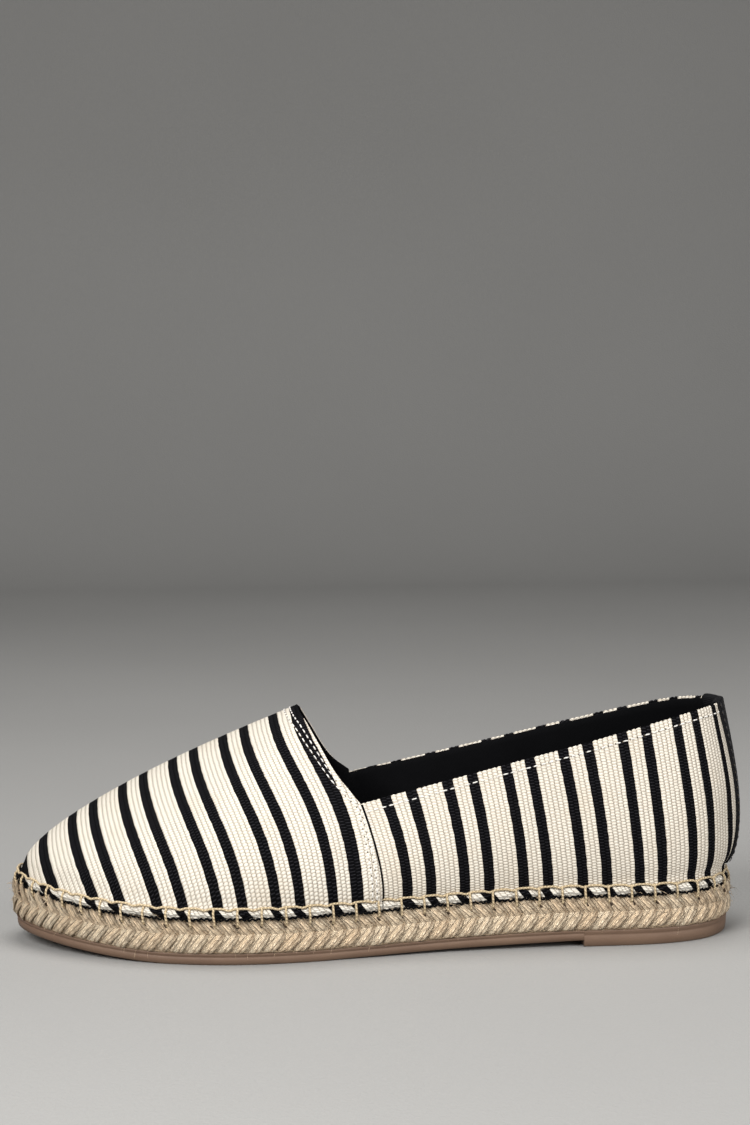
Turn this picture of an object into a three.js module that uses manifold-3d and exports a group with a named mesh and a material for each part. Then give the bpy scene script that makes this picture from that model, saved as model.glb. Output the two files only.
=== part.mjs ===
// Flat espadrille, left shoe, size EU 38, in millimetres.
// +X points to the toe, +Y to the outer side of the foot, +Z up. The shoe stands on its outsole at Z = 0.
//
// A maker puts together: a moulded rubber outsole with its heel lift, a coiled jute braid midsole,
// a padded insole, a lined canvas upper (vamp and quarters) and a tape over the back seam.
// Everything is worked out from the sole's outline and from ribs that run up the last from that outline.
import * as THREE from 'three';
import Module from 'manifold-3d';
import { mergeVertices } from 'three/addons/utils/BufferGeometryUtils.js';

// ---------------------------------------------------------------- driving dimensions
const SOLE_LENGTH = 256;        // heel end to toe end of the jute midsole
const BALL_WIDTH = 90;          // widest place of the jute midsole
const HEEL_HEIGHT = 81.2;       // floor to the topline at the back seam
const INSTEP_HEIGHT = 81.0;     // floor to the peak of the throat
const JUTE_HEIGHT = 12;         // braid between outsole and upper
const HEEL_RUBBER = 5.9;        // outsole thickness under the heel
const FORE_RUBBER = 4.0;        // outsole thickness under the ball
const TOE_SPRING = 5;           // lift of the toe end from the floor
const WALL = 2;                 // canvas, hem and lining together
const GAP = 0.3;                // between pieces that touch
const INSOLE_HEIGHT = 3;
const INSOLE_TAPER = 2.4;       // how much smaller its top is, all round, where the upper leans in

// places along the sole, measured from its heel end
const HEEL_BREAST = 57;         // front face of the heel lift
const BALL_BACK = 150;          // the flat tread under the ball runs from here
const BALL_FRONT = 200;         // to here, where the toe spring starts
const BREAST_STEP = 2.2;        // the waist is this far off the floor at the heel lift

// insets from the sole's outline
const UPPER_SEAT = 0.6;         // the upper stands this far in from the jute's edge
const OUTSOLE_INSET = 1.3;
const TREAD_CHAMFER = 0.8;

// back seam tape
const TAPE_WIDTH = 21;
const TAPE_THICKNESS = 0.9;
const TAPE_BOTTOM = 0.12;       // share of the heel's height left bare under the tape
const TAPE_INSIDE = 0.84;       // share of the heel's height where the tape ends inside
const TAPE_STRIPS = 8;          // strips across the tape's width
const TAPE_STEPS = 8;           // steps up its outer side

const RING = 96;                // points round the sole, a multiple of 4
const LEVELS = 13;              // points up each rib
const WELD = 1e-4;              // points closer than this are one point

// ---------------------------------------------------------------- tables
// Sole outline. at: share of the sole's length from the heel; middle: Y of the middle of the sole there;
// half: half the width there, as a share of half the ball width.
const OUTLINE = [
  { at: 0.00, middle: 0.0, half: 0.000 },
  { at: 0.03, middle: 0.0, half: 0.455 },
  { at: 0.07, middle: 0.1, half: 0.622 },
  { at: 0.13, middle: 0.4, half: 0.707 },
  { at: 0.25, middle: 1.6, half: 0.705 },
  { at: 0.40, middle: 4.0, half: 0.712 },
  { at: 0.52, middle: 4.8, half: 0.815 },
  { at: 0.63, middle: 3.6, half: 0.955 },
  { at: 0.72, middle: 1.6, half: 1.000 },
  { at: 0.81, middle: -1.2, half: 0.930 },
  { at: 0.89, middle: -3.8, half: 0.752 },
  { at: 0.95, middle: -5.6, half: 0.520 },
  { at: 0.985, middle: -6.4, half: 0.290 },
  { at: 1.00, middle: -6.6, half: 0.000 },
];

// Ribs of the upper. foot: where the rib stands, as a share of the sole's length; topX: how far forward of
// the heel end the rib's top is; topY: half the width of the opening there; drop: how far that point lies
// under the instep height; lean: power by which the rib leans inwards; bulge: how far it swells outwards.
const RIBS = [
  { foot: 0.000, topX: 2.8, topY: 0.0, drop: INSTEP_HEIGHT - HEEL_HEIGHT, lean: 1.0, bulge: 4.4 },
  { foot: 0.030, topX: 7.2, topY: 11.5, drop: 0.2, lean: 1.1, bulge: 4.2 },
  { foot: 0.070, topX: 17.0, topY: 19.5, drop: 1.6, lean: 1.2, bulge: 3.9 },
  { foot: 0.130, topX: 33.0, topY: 24.5, drop: 5.2, lean: 1.4, bulge: 3.6 },
  { foot: 0.220, topX: 58.5, topY: 28.0, drop: 11.4, lean: 1.6, bulge: 3.2 },
  { foot: 0.360, topX: 95.0, topY: 30.5, drop: 20.2, lean: 1.8, bulge: 2.9 },
  { foot: 0.500, topX: 134.5, topY: 33.5, drop: 29.6, lean: 1.85, bulge: 2.8 },
  { foot: 0.580, topX: 142.5, topY: 28.2, drop: 20.2, lean: 1.95, bulge: 2.6 },
  { foot: 0.680, topX: 148.5, topY: 21.5, drop: 9.9, lean: 1.85, bulge: 2.2 },
  { foot: 0.780, topX: 152.0, topY: 15.0, drop: 3.6, lean: 1.7, bulge: 2.0 },
  { foot: 0.870, topX: 153.7, topY: 9.0, drop: 1.2, lean: 1.57, bulge: 1.8 },
  { foot: 0.940, topX: 154.2, topY: 4.5, drop: 0.3, lean: 1.5, bulge: 1.6 },
  { foot: 1.000, topX: 154.3, topY: 0.0, drop: 0.0, lean: 1.47, bulge: 1.5 },
];
const CORNER_FOOT = 0.5;        // rib under the corner where throat and topline meet
const THROAT_MIDDLE = -2.5;     // Y of the throat's peak
const HEM_SHARE = 0.1;          // the lowest tenth of a rib stands straight
const BULGE_SKEW = 0.7;         // below 1 puts the widest place under mid height

// Jute wall, from its foot to its top: it is round like the braid.
const JUTE_WALL = [
  { up: 0.00, inset: 1.0 },
  { up: 0.20, inset: 0.2 },
  { up: 0.50, inset: 0.0 },
  { up: 0.80, inset: 0.2 },
  { up: 1.00, inset: 1.0 },
];

// ---------------------------------------------------------------- curves from the tables
const clamp01 = (v) => Math.min(1, Math.max(0, v));
const smoothStep = (v) => clamp01(v) ** 2 * (3 - 2 * clamp01(v));

// The turn round the sole, 0 at the heel and PI at the toe, of a place along it.
const turnOf = (share) => Math.acos(1 - 2 * clamp01(share));

// Reads a column of a table at a turn, on a cubic through the rows. The curve may have one corner.
function readColumn(rows, placeKey, column, turn, cornerPlace) {
  const knots = rows.map((row) => turnOf(row[placeKey]));
  let i = 0;
  while (i < rows.length - 2 && turn > knots[i + 1]) i += 1;
  const slopeBetween = (a, b) => (rows[b][column] - rows[a][column]) / (knots[b] - knots[a]);
  const slopeAt = (k) => {
    const isEnd = k === 0 || k === rows.length - 1;
    if (isEnd || rows[k][placeKey] === cornerPlace) return slopeBetween(i, i + 1);
    return slopeBetween(k - 1, k + 1);
  };
  const span = knots[i + 1] - knots[i];
  const t = clamp01((turn - knots[i]) / span);
  const rise = t * t * (3 - 2 * t);
  return rows[i][column] * (1 - rise) + rows[i + 1][column] * rise
    + span * (slopeAt(i) * t * (1 - t) ** 2 - slopeAt(i + 1) * t * t * (1 - t));
}

// A ring angle runs from the heel along the outer side to the toe and back along the inner side.
function sideOf(angle) {
  const full = 2 * Math.PI;
  const turned = ((angle % full) + full) % full;
  return turned <= Math.PI ? { turn: turned, side: 1 } : { turn: full - turned, side: -1 };
}

const placeOf = (turn) => SOLE_LENGTH * (1 - Math.cos(turn)) / 2;

function outlinePoint(angle) {
  const { turn, side } = sideOf(angle);
  const half = readColumn(OUTLINE, 'at', 'half', turn) * BALL_WIDTH / 2;
  const middle = readColumn(OUTLINE, 'at', 'middle', turn);
  return new THREE.Vector2(placeOf(turn), middle + side * half);
}

// The outline moved inwards by an inset, square to itself.
function insetPoint(angle, inset) {
  const step = 0.01;
  const along = outlinePoint(angle + step).sub(outlinePoint(angle - step)).normalize();
  return outlinePoint(angle).addScaledVector(new THREE.Vector2(along.y, -along.x), inset);
}

// Heights of the sole's layers at a place along it.
function toeLift(place) {
  const share = clamp01((place - BALL_FRONT) / (SOLE_LENGTH - BALL_FRONT));
  return TOE_SPRING * share ** 1.6;
}

function juteFoot(place) {
  const forward = smoothStep((place - HEEL_BREAST) / (BALL_BACK - HEEL_BREAST));
  return HEEL_RUBBER + (FORE_RUBBER - HEEL_RUBBER) * forward + toeLift(place);
}

const juteTop = (place) => juteFoot(place) + JUTE_HEIGHT;

// ---------------------------------------------------------------- the last
// A point of the upper's outer face: angle round the sole, up from 0 at the sole to 1 at the topline.
function lastPoint(angle, up) {
  const { turn, side } = sideOf(angle);
  const rib = (column) => readColumn(RIBS, 'foot', column, turn, CORNER_FOOT);
  const foot = insetPoint(angle, UPPER_SEAT);
  const footZ = juteTop(placeOf(turn)) + GAP;
  const forward = smoothStep(rib('topX') / RIBS.at(-1).topX);
  const top = new THREE.Vector2(rib('topX'), THROAT_MIDDLE * forward + side * rib('topY'));
  const inwards = up ** rib('lean');
  const swell = Math.sin(Math.PI * clamp01((up - HEM_SHARE) / (1 - HEM_SHARE)) ** BULGE_SKEW);
  const outwards = foot.clone().sub(insetPoint(angle, UPPER_SEAT + 1));
  const plan = foot.lerp(top, inwards).addScaledVector(outwards, rib('bulge') * swell);
  const topZ = INSTEP_HEIGHT - rib('drop');
  return new THREE.Vector3(plan.x, plan.y, footZ + (topZ - footZ) * up);
}

// The same point moved out along the surface's normal, or in with a negative distance.
function lastOffset(angle, up, distance) {
  const turnStep = 0.004;
  const upStep = 0.004;
  const round = lastPoint(angle + turnStep, up).sub(lastPoint(angle - turnStep, up));
  const upwards = lastPoint(angle, Math.min(1, up + upStep)).sub(lastPoint(angle, Math.max(0, up - upStep)));
  const normal = round.cross(upwards).normalize();
  if (up === 0) normal.setZ(0).normalize();
  return lastPoint(angle, up).addScaledVector(normal, -distance);
}

// ---------------------------------------------------------------- solids from rings and sheets
function meshFrom(name, points, faces, material) {
  const geometry = new THREE.BufferGeometry();
  geometry.setAttribute('position', new THREE.Float32BufferAttribute(points.flatMap((p) => p.toArray()), 3));
  geometry.setIndex(faces.flat());
  const volume = faces.reduce((sum, [a, b, c]) => sum + points[a].dot(points[b].clone().cross(points[c])), 0);
  if (volume < 0) geometry.setIndex(faces.flatMap(([a, b, c]) => [a, c, b]));
  geometry.computeVertexNormals();
  const mesh = new THREE.Mesh(geometry, material);
  mesh.name = name;
  return mesh;
}

const quad = (a, b, c, d) => [[a, b, c], [a, c, d]];

// A layer of the sole: rings of points one above the other, closed by a face below and one above.
function layerSolid(name, rings, material) {
  const points = rings.flat();
  const count = rings[0].length;
  const faces = [];
  rings.slice(1).forEach((_, level) => {
    for (let i = 0; i < count; i += 1) {
      const next = (i + 1) % count;
      const low = level * count;
      const high = low + count;
      faces.push(...quad(low + i, low + next, high + next, high + i));
    }
  });
  const cover = (base, flip) => {
    for (let i = 0; i < count / 2; i += 1) {
      const across = [i, i + 1, count - i - 1, (count - i) % count];
      const corners = [...new Set(across)].map((k) => base + k);
      if (flip) corners.reverse();
      faces.push([corners[0], corners[1], corners[2]]);
      if (corners.length === 4) faces.push([corners[0], corners[2], corners[3]]);
    }
  };
  cover(0, true);
  cover((rings.length - 1) * count, false);
  return meshFrom(name, points, faces, material);
}

// A sheet with two faces given as rows of points; a closed sheet joins its last row to its first.
function sheetSolid(name, outer, inner, isClosed, material) {
  const rows = outer.length;
  const columns = outer[0].length;
  const points = [...outer.flat(), ...inner.flat()];
  const shift = rows * columns;
  const at = (row, column) => (row % rows) * columns + column;
  const faces = [];
  const lastRow = isClosed ? rows : rows - 1;
  for (let row = 0; row < lastRow; row += 1) {
    for (let column = 0; column < columns - 1; column += 1) {
      const corners = [at(row, column), at(row + 1, column), at(row + 1, column + 1), at(row, column + 1)];
      faces.push(...quad(...corners));
      faces.push(...quad(...corners.map((k) => k + shift).reverse()));
    }
    [0, columns - 1].forEach((column, isFar) => {
      const edge = [at(row, column), at(row, column) + shift, at(row + 1, column) + shift, at(row + 1, column)];
      faces.push(...quad(...(isFar ? edge.reverse() : edge)));
    });
  }
  if (!isClosed) {
    for (let column = 0; column < columns - 1; column += 1) {
      [0, rows - 1].forEach((row, isFar) => {
        const edge = [at(row, column), at(row, column + 1), at(row, column + 1) + shift, at(row, column) + shift];
        faces.push(...quad(...(isFar ? edge.reverse() : edge)));
      });
    }
  }
  return meshFrom(name, points, faces, material);
}

const ringAngles = Array.from({ length: RING }, (_, i) => 2 * Math.PI * i / RING);
const soleRing = (inset, height) => ringAngles.map((angle) => {
  const plan = insetPoint(angle, inset);
  return new THREE.Vector3(plan.x, plan.y, height(placeOf(sideOf(angle).turn)));
});

// ---------------------------------------------------------------- manifold-3d, for the waist of the outsole
const wasm = await Module();
wasm.setup();

function solidOf(geometry) {
  const bare = geometry.clone();
  ['normal', 'uv'].forEach((attribute) => bare.deleteAttribute(attribute));
  const merged = mergeVertices(bare, WELD);
  return new wasm.Manifold(new wasm.Mesh({
    numProp: 3,
    vertProperties: merged.attributes.position.array,
    triVerts: new Uint32Array(merged.index.array),
  }));
}

function geometryOf(solid) {
  const { vertProperties, triVerts } = solid.getMesh();
  const geometry = new THREE.BufferGeometry();
  geometry.setAttribute('position', new THREE.BufferAttribute(vertProperties, 3));
  geometry.setIndex(new THREE.BufferAttribute(triVerts, 1));
  geometry.computeVertexNormals();
  return geometry;
}

// ---------------------------------------------------------------- outsole: moulded rubber with its heel lift
const rubber = new THREE.MeshStandardMaterial({ color: 0x9a7355, roughness: 0.7, metalness: 0 });

function makeOutsole() {
  const slab = layerSolid('outsole', [
    soleRing(OUTSOLE_INSET + TREAD_CHAMFER, toeLift),
    soleRing(OUTSOLE_INSET, (place) => toeLift(place) + TREAD_CHAMFER),
    soleRing(OUTSOLE_INSET, (place) => juteFoot(place) - GAP),
  ], rubber);
  // The waist is lifted off the floor between the heel lift's front face and the ball.
  const under = new THREE.Shape();
  under.moveTo(HEEL_BREAST, -BREAST_STEP);
  under.lineTo(HEEL_BREAST, BREAST_STEP);
  under.lineTo(BALL_BACK, 0);
  under.lineTo(BALL_BACK, -BREAST_STEP);
  under.closePath();
  const wedge = new THREE.ExtrudeGeometry(under, { depth: 2 * BALL_WIDTH, bevelEnabled: false });
  wedge.rotateX(Math.PI / 2).translate(0, BALL_WIDTH, 0);
  slab.geometry = geometryOf(solidOf(slab.geometry).subtract(solidOf(wedge)));
  return slab;
}

// ---------------------------------------------------------------- midsole: jute braid coiled on edge and sewn
const jute = new THREE.MeshStandardMaterial({ color: 0xd2b48c, roughness: 0.95, metalness: 0 });

function makeMidsole() {
  const rings = JUTE_WALL.map(({ up, inset }) => soleRing(inset, (place) => juteFoot(place) + JUTE_HEIGHT * up));
  return layerSolid('jute_midsole', rings, jute);
}

// ---------------------------------------------------------------- insole: lining cloth over a thin pad
const sockCloth = new THREE.MeshStandardMaterial({ color: 0x17161a, roughness: 0.9, metalness: 0 });

function makeInsole() {
  const inset = UPPER_SEAT + WALL + 2 * GAP;
  const ring = (up) => soleRing(inset + INSOLE_TAPER * up, (place) => juteTop(place) + GAP + INSOLE_HEIGHT * up);
  return layerSolid('insole', [0, 0.6, 1].map(ring), sockCloth);
}

// ---------------------------------------------------------------- upper: vamp and quarters, one hollow wall
const canvas = new THREE.MeshStandardMaterial({ color: 0xe9e2d3, roughness: 0.9, metalness: 0 });

function makeUpper() {
  const ups = Array.from({ length: LEVELS }, (_, i) => i / (LEVELS - 1));
  const face = (distance) => ringAngles.map((angle) => ups.map((up) => lastOffset(angle, up, distance)));
  return sheetSolid('upper', face(0), face(-WALL), true, canvas);
}

// ---------------------------------------------------------------- back seam tape, folded over the topline
const tapeCloth = new THREE.MeshStandardMaterial({ color: 0x121114, roughness: 0.8, metalness: 0 });

function makeTape() {
  const step = 0.01;
  const perRadian = lastPoint(step, 0.5).distanceTo(lastPoint(-step, 0.5)) / (2 * step);
  const halfTurn = TAPE_WIDTH / 2 / perRadian;
  const outside = Array.from({ length: TAPE_STEPS + 1 }, (_, i) => TAPE_BOTTOM + (1 - TAPE_BOTTOM) * i / TAPE_STEPS);
  const inside = [1, (1 + TAPE_INSIDE) / 2, TAPE_INSIDE];
  const layer = (away, angle) => {
    const lift = new THREE.Vector3(0, 0, away);
    const outer = outside.map((up) => lastOffset(angle, up, away));
    const inner = inside.map((up) => lastOffset(angle, up, -WALL - away));
    return [...outer, outer.at(-1).clone().add(lift), inner[0].clone().add(lift), ...inner];
  };
  const angles = Array.from({ length: TAPE_STRIPS + 1 }, (_, i) => halfTurn * (2 * i / TAPE_STRIPS - 1));
  const face = (away) => angles.map((angle) => layer(away, angle));
  return sheetSolid('heel_tape', face(GAP + TAPE_THICKNESS), face(GAP), false, tapeCloth);
}

// ---------------------------------------------------------------- the shoe, centred over its own box
const shoe = new THREE.Group();
shoe.add(makeOutsole(), makeMidsole(), makeInsole(), makeUpper(), makeTape());
const box = new THREE.Box3().setFromObject(shoe);
const centre = box.getCenter(new THREE.Vector3());
shoe.position.set(-centre.x, -centre.y, -box.min.z);

export default shoe;
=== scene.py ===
import math

import bmesh
import bpy
import numpy as np
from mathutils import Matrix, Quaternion, Vector


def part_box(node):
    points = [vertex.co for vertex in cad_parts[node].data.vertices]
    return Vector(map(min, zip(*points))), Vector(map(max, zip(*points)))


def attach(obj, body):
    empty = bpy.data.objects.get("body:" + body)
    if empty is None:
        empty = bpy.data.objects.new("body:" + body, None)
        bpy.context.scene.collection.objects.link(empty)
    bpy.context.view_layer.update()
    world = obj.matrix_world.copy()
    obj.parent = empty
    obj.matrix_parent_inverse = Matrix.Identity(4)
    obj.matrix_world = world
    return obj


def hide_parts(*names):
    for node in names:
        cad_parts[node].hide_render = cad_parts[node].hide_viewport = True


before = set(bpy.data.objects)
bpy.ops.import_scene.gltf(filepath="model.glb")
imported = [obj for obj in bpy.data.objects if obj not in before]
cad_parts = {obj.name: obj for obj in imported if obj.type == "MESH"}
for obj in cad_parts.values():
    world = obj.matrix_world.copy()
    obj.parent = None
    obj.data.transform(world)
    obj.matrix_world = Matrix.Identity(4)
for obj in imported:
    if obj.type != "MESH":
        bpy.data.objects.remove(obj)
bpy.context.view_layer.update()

# ---- Outsole ---------------------------------------------------------------------------------
# One piece of tan moulded rubber with a low heel lift, cemented under the jute. The waist clears
# the floor in front of the lift, and the toe springs up a little. Sizes are in millimetres.
SOLE_LENGTH = 256
BALL_WIDTH = 90
HEEL_RUBBER, FORE_RUBBER = 5.9, 4.0   # thickness under the heel and under the ball
TOE_SPRING = 5                        # lift of the toe end off the floor
HEEL_BREAST, BREAST_STEP = 57, 2.2    # place and height of the heel lift's front face
BALL_BACK, BALL_FRONT = 150, 200      # the tread is flat between these places
RUBBER_SEAM = 0.05                    # between the rubber and the jute on it

# at: share of the sole's length from the heel; middle: Y of its middle there; half: share of half the width
OUTLINE = np.array([
    (0.00, 0.0, 0.000), (0.03, 0.0, 0.455), (0.07, 0.1, 0.622), (0.13, 0.4, 0.707), (0.25, 1.6, 0.705),
    (0.40, 4.0, 0.712), (0.52, 4.8, 0.815), (0.63, 3.6, 0.955), (0.72, 1.6, 1.000), (0.81, -1.2, 0.930),
    (0.89, -3.8, 0.752), (0.95, -5.6, 0.520), (0.985, -6.4, 0.290), (1.00, -6.6, 0.000),
], dtype=[("at", float), ("middle", float), ("half", float)])


def read_column(rows, place, column, turn, corner=None):
    """A table's column at turns round the last, 0 at the heel and pi at the toe, on a smooth curve."""
    knots, values = np.arccos(1 - 2 * rows[place]), rows[column]
    i = np.searchsorted(knots[1:-1], turn, side="left")
    chord = np.diff(values) / np.diff(knots)
    slope = np.zeros(len(rows))
    slope[1:-1] = (values[2:] - values[:-2]) / (knots[2:] - knots[:-2])
    sharp = np.isin(rows[place], [rows[place][0], rows[place][-1], corner if corner else -1])
    start, end = np.where(sharp[i], chord[i], slope[i]), np.where(sharp[i + 1], chord[i], slope[i + 1])
    span = knots[i + 1] - knots[i]
    t = np.clip((turn - knots[i]) / span, 0, 1)
    rise = t * t * (3 - 2 * t)
    bend = span * (start * t * (1 - t) ** 2 - end * t * t * (1 - t))
    return values[i] * (1 - rise) + values[i + 1] * rise + bend


def side_of(angle):
    """An angle round the last, by the outer side to the toe and back, as its turn and its side."""
    turned = np.mod(angle, 2 * math.pi)
    return np.where(turned <= math.pi, turned, 2 * math.pi - turned), np.where(turned <= math.pi, 1, -1)


def place_of(angle):
    return SOLE_LENGTH * (1 - np.cos(angle)) / 2


def outline(angle, inset=0):
    """Plan points of the sole's edge, moved inwards square to it."""
    def edge(a):
        turn, side = side_of(a)
        middle = read_column(OUTLINE, "at", "middle", turn)
        half = read_column(OUTLINE, "at", "half", turn) * BALL_WIDTH / 2
        return np.stack([place_of(turn), middle + side * half], -1)
    along = edge(angle + 0.01) - edge(angle - 0.01)
    along /= np.linalg.norm(along, axis=-1, keepdims=True)
    inwards = np.stack([along[..., 1], -along[..., 0]], -1)
    return edge(angle) + inwards * np.asarray(inset)[..., None]


def smooth_step(v):
    v = np.clip(v, 0, 1)
    return v * v * (3 - 2 * v)


def toe_lift(place):
    return TOE_SPRING * np.clip((place - BALL_FRONT) / (SOLE_LENGTH - BALL_FRONT), 0, 1) ** 1.6


def jute_foot(place):
    forward = smooth_step((place - HEEL_BREAST) / (BALL_BACK - HEEL_BREAST))
    return HEEL_RUBBER + (FORE_RUBBER - HEEL_RUBBER) * forward + toe_lift(place)


def turns(count, start=0.0, end=2 * math.pi, closed=True):
    return np.linspace(start, end, count, endpoint=not closed)


# from millimetres with the heel end at X 0 to the frame
sole_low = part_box("jute_midsole")[0]
TO_FRAME = np.array([sole_low.x * 1000, sole_low.y * 1000 - outline(turns(400))[:, 1].min(), 0])


def new_object(name, data):
    made = bpy.data.objects.new(name, data)
    bpy.context.scene.collection.objects.link(made)
    return made


def add_piece(name, points, faces, maps=None, shift=True):
    """A mesh piece from points in the last's millimetres, its faces turned outwards."""
    points = np.asarray(points, float).reshape(-1, 3)
    place = (points + (TO_FRAME if shift else 0)) / 1000
    a, b, c = (place[faces[:, k]] for k in range(3))
    if (a * np.cross(b, c)).sum() < 0:
        faces = faces[:, ::-1]
    mesh = bpy.data.meshes.new(name)
    mesh.from_pydata(place.tolist(), [], faces.tolist())
    corner = np.empty(len(mesh.loops), int)
    mesh.loops.foreach_get("vertex_index", corner)
    for label, values in (maps or {}).items():
        layer = mesh.uv_layers.new(name=label)
        layer.data.foreach_set("uv", np.asarray(values, float).reshape(-1, 2)[corner].ravel())
    mesh.polygons.foreach_set("use_smooth", np.ones(len(mesh.polygons), bool))
    return new_object(name, mesh)


def sweep(sections, closed):
    """Faces of a closed section carried along a row of places. An open row gets flat ends."""
    rows, count = sections.shape[:2]
    r = np.arange(rows if closed else rows - 1)[:, None] * count
    k = np.arange(count)[None, :]
    after, beside = (r + count) % (rows * count), (k + 1) % count
    faces = [np.stack([r + k, after + k, after + beside, r + beside], -1).reshape(-1, 4)]
    if not closed:
        i = np.arange(count // 2 - 1)
        end = np.stack([i, i + 1, count - 2 - i, count - 1 - i], -1)
        faces += [end, end[:, ::-1] + (rows - 1) * count]
    return np.concatenate(faces)


def layer(rings):
    """Faces of rings one above the other, covered below and above by strips straight across."""
    levels, count = rings.shape[:2]
    r = np.arange(levels - 1)[:, None] * count
    k = np.arange(count)[None, :]
    beside = (k + 1) % count
    walls = np.stack([r + k, r + beside, r + count + beside, r + count + k], -1).reshape(-1, 4)
    i = np.arange(count // 2)
    cover = np.stack([i, i + 1, count - 1 - i, (count - i) % count], -1)
    return np.concatenate([walls, cover[:, ::-1], cover + (levels - 1) * count])


def weld(piece):
    """Merges points that lie on each other, where a cover comes to a tip."""
    near = 2e-6
    edit = bmesh.new()
    edit.from_mesh(piece.data)
    bmesh.ops.remove_doubles(edit, verts=edit.verts, dist=near)
    bmesh.ops.dissolve_degenerate(edit, edges=edit.edges, dist=near)
    edit.to_mesh(piece.data)
    edit.free()
    return piece


def put(tree, kind, inputs=None, **settings):
    """A node in a tree, with its settings, and its inputs as values or as other nodes' outputs."""
    made = tree.nodes.new(kind)
    for key, value in settings.items():
        setattr(made, key, value)
    for key, value in (inputs or {}).items():
        if isinstance(value, bpy.types.NodeSocket):
            tree.links.new(value, made.inputs[key])
        else:
            made.inputs[key].default_value = value
    return made


def calc(tree, operation, *values):
    return put(tree, "ShaderNodeMath", dict(enumerate(values)), operation=operation).outputs[0]


def mix(tree, share, first, second):
    made = put(tree, "ShaderNodeMix", {0: share, 6: first, 7: second}, data_type="RGBA")
    return made.outputs[2]


def noise(tree, vector, scale, detail=2.0):
    made = put(tree, "ShaderNodeTexNoise", {"Vector": vector, "Scale": scale, "Detail": detail})
    return made.outputs[0]


def spot_on(tree):
    """The place on the piece, for a pattern that goes through it."""
    return put(tree, "ShaderNodeTexCoord").outputs["Object"]


def new_finish(name):
    finish = bpy.data.materials.new(name)
    finish.use_nodes = True
    finish.node_tree.nodes.clear()
    return finish, finish.node_tree


def shade(tree, colour, roughness, height, depth, **steady):
    """The finish's surface: its colour, its roughness and its relief, depth metres high."""
    relief = put(tree, "ShaderNodeBump", {"Height": height, "Distance": depth, "Strength": 1.0})
    cover = put(tree, "ShaderNodeBsdfPrincipled", {
        "Base Color": colour, "Roughness": roughness, "Normal": relief.outputs[0], **steady})
    put(tree, "ShaderNodeOutputMaterial", {"Surface": cover.outputs[0]})


def finish_piece(piece, finish, slot, *nodes):
    """Gives a finished piece its material, its place on the shoe and the frame's nodes it stands for."""
    piece.data.materials.clear()
    piece.data.materials.append(finish)
    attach(piece, "root")
    if nodes:
        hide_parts(*nodes)
    return piece


def moulded_rubber():
    """Tan rubber, faintly mottled, a little darker where it has met the floor, ribbed underneath."""
    finish, tree = new_finish("tan moulded rubber")
    spot = spot_on(tree)
    mottle = noise(tree, spot, 60, 4)
    grain = noise(tree, spot, 900, 2)
    tan = mix(tree, mottle, (0.112, 0.062, 0.038, 1), (0.185, 0.115, 0.073, 1))
    height = put(tree, "ShaderNodeSeparateXYZ", {0: spot}).outputs["Z"]
    low = put(tree, "ShaderNodeMapRange", {0: height, 1: 0.0, 2: 0.0016, 3: 0.55, 4: 0.0}).outputs[0]
    worn = calc(tree, "MULTIPLY", low, noise(tree, spot, 140, 3))
    colour = mix(tree, worn, tan, (0.22, 0.155, 0.108, 1))
    down = put(tree, "ShaderNodeNewGeometry").outputs["Normal"]
    under = calc(tree, "LESS_THAN", put(tree, "ShaderNodeSeparateXYZ", {0: down}).outputs["Z"], -0.7)
    ribs = put(tree, "ShaderNodeTexWave", {"Vector": spot, "Scale": 65, "Distortion": 0.0}).outputs[1]
    relief = calc(tree, "ADD", calc(tree, "MULTIPLY", grain, 0.12), calc(tree, "MULTIPLY", ribs, under))
    shade(tree, colour, calc(tree, "ADD", 0.55, calc(tree, "MULTIPLY", grain, 0.2)), relief, 0.0005)
    return finish


def make_outsole():
    breast = math.acos(1 - 2 * HEEL_BREAST / SOLE_LENGTH)
    step = np.array([breast, breast + 1e-4])   # the lift's front face stands between these two turns
    around = np.sort(np.concatenate([turns(480), step, 2 * math.pi - step]))
    place = place_of(around)
    waist = np.clip((BALL_BACK - place) / (BALL_BACK - HEEL_BREAST), 0, 1) * BREAST_STEP
    under = np.where(place > HEEL_BREAST + 1e-3, waist, 0) + toe_lift(place)
    top = jute_foot(place) - RUBBER_SEAM
    # inset: in from the jute's edge; up: share of the rubber's height, with a moulded groove near 0.7
    wall = ((9.0, 0.0), (2.4, 0.0), (1.7, 0.054), (1.4, 0.4), (1.32, 0.66), (1.55, 0.71), (1.3, 0.76),
            (1.15, 0.9), (1.0, 1.0))
    rings = np.array([np.column_stack([outline(around, inset), under + (top - under) * up])
                      for inset, up in wall])
    piece = add_piece("outsole_rubber", rings, layer(rings))
    return finish_piece(weld(piece), moulded_rubber(), "outsole_rubber", "outsole")


make_outsole()

# ---- Jute midsole ----------------------------------------------------------------------------
# A plait of jute coiled on edge and sewn through. Its outer edge shows two rows of strands that
# lean against each other like chevrons, over the body of the coil. A few fibres stand loose.
JUTE_HEIGHT = 12
PLAIT_PITCH = 5.3
UPPER_ROW, LOWER_ROW = 0.76, 0.33   # heights of the rows' middles, as shares of the jute's height
FIBRE_ROWS = (0.9, 0.65, 0.42)
FIBRE_SPACING = 3.7
STRAND_WIDTH, STRAND_THICK, PLY_WIDTH = 4.8, 1.0, 1.5
JUTE_SHADOW, JUTE_DARK, JUTE_PALE = (0.22, 0.12, 0.06, 1), (0.79, 0.585, 0.375, 1), (0.97, 0.82, 0.60, 1)


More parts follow.
